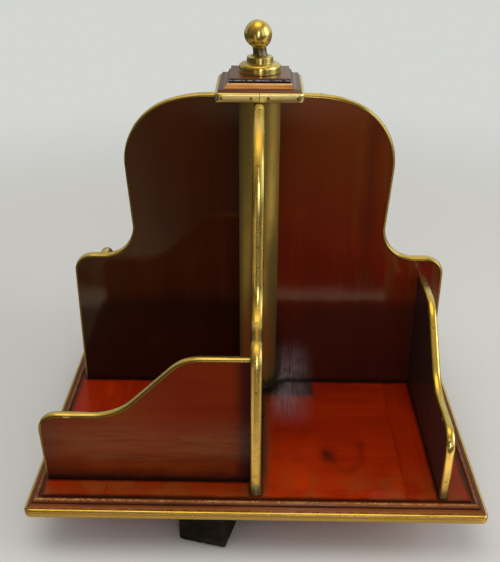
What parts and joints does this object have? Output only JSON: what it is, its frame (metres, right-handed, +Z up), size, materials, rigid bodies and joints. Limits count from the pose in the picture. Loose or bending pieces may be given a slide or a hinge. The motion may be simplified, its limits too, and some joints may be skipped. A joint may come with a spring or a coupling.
{
  "type": "revolving book rack",
  "caption": "Table-top revolving book rack: square brass-bound tray with tall and low panels round a column, on a cross base.",
  "frame": {"origin": "on the table, on the spindle's axis, under the middle of the base", "axes": "+Z up along the spindle, -Y towards the viewer, +X to the viewer's right, at the pictured turn of the rack"},
  "size_m": [0.3564, 0.3564, 0.3829],
  "materials": {
    "divider_wood": "polished dark red-brown mahogany, upright grain",
    "gallery_wood": "polished red-brown mahogany, level grain",
    "tray_wood": "glossy orange-red mahogany boards",
    "moulding_wood": "dark polished mahogany moulding with worn edges",
    "cap_wood": "polished mahogany moulding",
    "base_wood": "dark unpolished hardwood",
    "brass_trim": "aged polished brass, half-round strip",
    "brass_turned": "turned and polished brass",
    "brass_plate": "plain machined brass",
    "steel": "plain bright steel",
    "pad": "dark leather pad"
  },
  "bodies": {
    "base": {"cross_rail_lower": "base_wood", "cross_rail_upper": "base_wood", "foot_pads": "pad", "base_thrust_plate": "brass_plate", "base_plate_screws": "brass_plate", "thrust_washer": "brass_plate", "spindle": "steel", "spindle_washer": "steel", "spindle_nut": "steel", "finial": "brass_turned"},
    "rack": {"tray_board_centre": "tray_wood", "tray_board_left": "tray_wood", "tray_board_right": "tray_wood", "tray_band_pins": "brass_trim", "tray_thrust_plate": "brass_plate", "tray_plate_screws": "brass_plate", "column_tube": "brass_turned", "lower_bush": "brass_plate", "upper_bush": "brass_plate", "divider_pins": "brass_trim", "gallery_pins": "brass_trim", "cap_block": "cap_wood", "cap_plate": "cap_wood", "cap_band_left": "brass_trim", "cap_band_right": "brass_trim", "cap_band_pins": "brass_trim", "cap_screws": "brass_plate", "tray_rail_right": "moulding_wood", "tray_rail_back": "moulding_wood", "tray_rail_left": "moulding_wood", "tray_rail_front": "moulding_wood", "tray_band_right": "brass_trim", "tray_band_back": "brass_trim", "tray_band_left": "brass_trim", "tray_band_front": "brass_trim", "divider_right": "divider_wood", "divider_back": "divider_wood", "divider_left": "divider_wood", "divider_front": "divider_wood", "divider_edging_right": "brass_trim", "divider_edging_back": "brass_trim", "divider_edging_left": "brass_trim", "divider_edging_front": "brass_trim", "gallery_right": "gallery_wood", "gallery_back": "gallery_wood", "gallery_left": "gallery_wood", "gallery_front": "gallery_wood", "gallery_edging_right": "brass_trim", "gallery_edging_back": "brass_trim", "gallery_edging_left": "brass_trim", "gallery_edging_front": "brass_trim"}
  },
  "joints": [
    {"name": "rack_turn", "type": "hinge", "parent": "base", "child": "rack", "pos_m": [0, 0, 0.0404], "axis": [0, 0, 1], "continuous": true}
  ]
}
